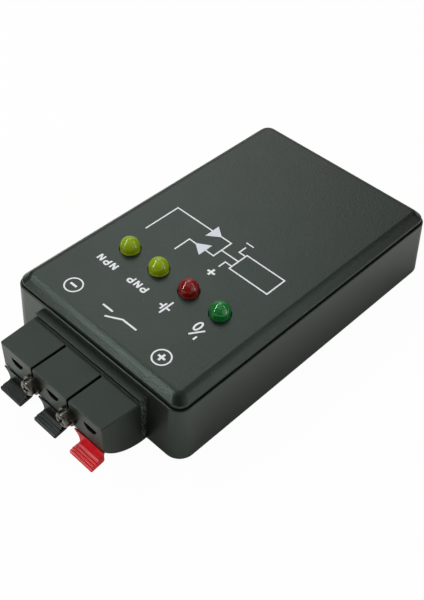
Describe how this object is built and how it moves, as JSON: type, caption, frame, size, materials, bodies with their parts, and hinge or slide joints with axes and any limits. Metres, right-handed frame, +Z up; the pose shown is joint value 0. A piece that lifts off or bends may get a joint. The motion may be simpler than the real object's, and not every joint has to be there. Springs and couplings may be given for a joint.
{
  "type": "switching sensor tester",
  "caption": "Hand-held black plastic tester for switching sensors, with lever wire terminals at one end, signal lamps in the lid and a battery door underneath.",
  "frame": {"origin": "centre of the case's flat underside", "axes": "+Z up through the lid, -Y out of the terminal end, +X towards the positive terminal"},
  "size_m": [0.0574, 0.1056, 0.0225],
  "materials": {
    "case_plastic": "black moulded ABS with a fine satin grain",
    "terminal_plastic": "black moulded plastic, satin",
    "phenolic_board": "brown paper laminate",
    "lever_black": "black moulded plastic, semi-gloss",
    "lever_red": "red moulded plastic, glossy",
    "lens_yellow_green": "tinted cast resin, glossy",
    "lens_red": "tinted cast resin, glossy",
    "lens_green": "tinted cast resin, glossy",
    "tinned_wire": "tinned wire",
    "screw_steel": "nickel-plated steel",
    "tinned_brass": "tinned brass strip",
    "spring_steel": "bright spring steel",
    "board_laminate": "glass laminate with green solder mask",
    "moulded_epoxy": "black moulded epoxy",
    "resistor_lacquer": "beige lacquer",
    "capacitor_sleeve": "dark blue shrink sleeve",
    "battery_can": "plain grey printed can",
    "wire_red": "soft insulation",
    "wire_black": "soft insulation"
  },
  "bodies": {
    "case": {"lower_case": "case_plastic", "upper_case": "case_plastic", "terminal_housing": "terminal_plastic", "terminal_back_plate": "phenolic_board", "led_npn": "lens_yellow_green", "led_pnp": "lens_yellow_green", "led_battery": "lens_red", "led_output": "lens_green", "led_leads": "tinned_wire", "case_screws": "screw_steel", "board_screws": "screw_steel", "terminal_screws": "screw_steel", "terminal_washers": "screw_steel", "terminal_nuts": "screw_steel", "contact_negative": "tinned_brass", "contact_output": "tinned_brass", "contact_positive": "tinned_brass", "lever_spring_negative": "spring_steel", "lever_spring_output": "spring_steel", "lever_spring_positive": "spring_steel", "circuit_board": "board_laminate", "comparator_chip": "moulded_epoxy", "transistors": "moulded_epoxy", "resistors": "resistor_lacquer", "capacitor": "capacitor_sleeve", "battery_cell": "battery_can", "battery_contact_positive": "spring_steel", "battery_contact_negative": "spring_steel", "battery_spring": "spring_steel", "battery_lead_positive": "wire_red", "battery_lead_negative": "wire_black"},
    "negative_lever": {"lever_negative": "lever_black"},
    "output_lever": {"lever_output": "lever_black"},
    "positive_lever": {"lever_positive": "lever_red"},
    "door": {"battery_door": "case_plastic"}
  },
  "joints": [
    {"name": "negative_lever_press", "type": "hinge", "parent": "case", "child": "negative_lever", "pos_m": [-0.0123, -0.04936, 0.005], "axis": [1, 0, 0], "range_deg": [0, 14], "stiffness_Nm_per_rad": 0.08, "springref_deg": -17.19, "deforming": ["lever_spring_negative"]},
    {"name": "output_lever_press", "type": "hinge", "parent": "case", "child": "output_lever", "pos_m": [0.0002, -0.04936, 0.005], "axis": [1, 0, 0], "range_deg": [0, 14], "stiffness_Nm_per_rad": 0.08, "springref_deg": -17.19, "deforming": ["lever_spring_output"]},
    {"name": "positive_lever_press", "type": "hinge", "parent": "case", "child": "positive_lever", "pos_m": [0.0127, -0.04936, 0.005], "axis": [1, 0, 0], "range_deg": [0, 14], "stiffness_Nm_per_rad": 0.08, "springref_deg": -17.19, "deforming": ["lever_spring_positive"]},
    {"name": "battery_door_slide", "type": "slide", "parent": "case", "child": "door", "axis": [0, 1, 0], "range_m": [0, 0.036]}
  ]
}
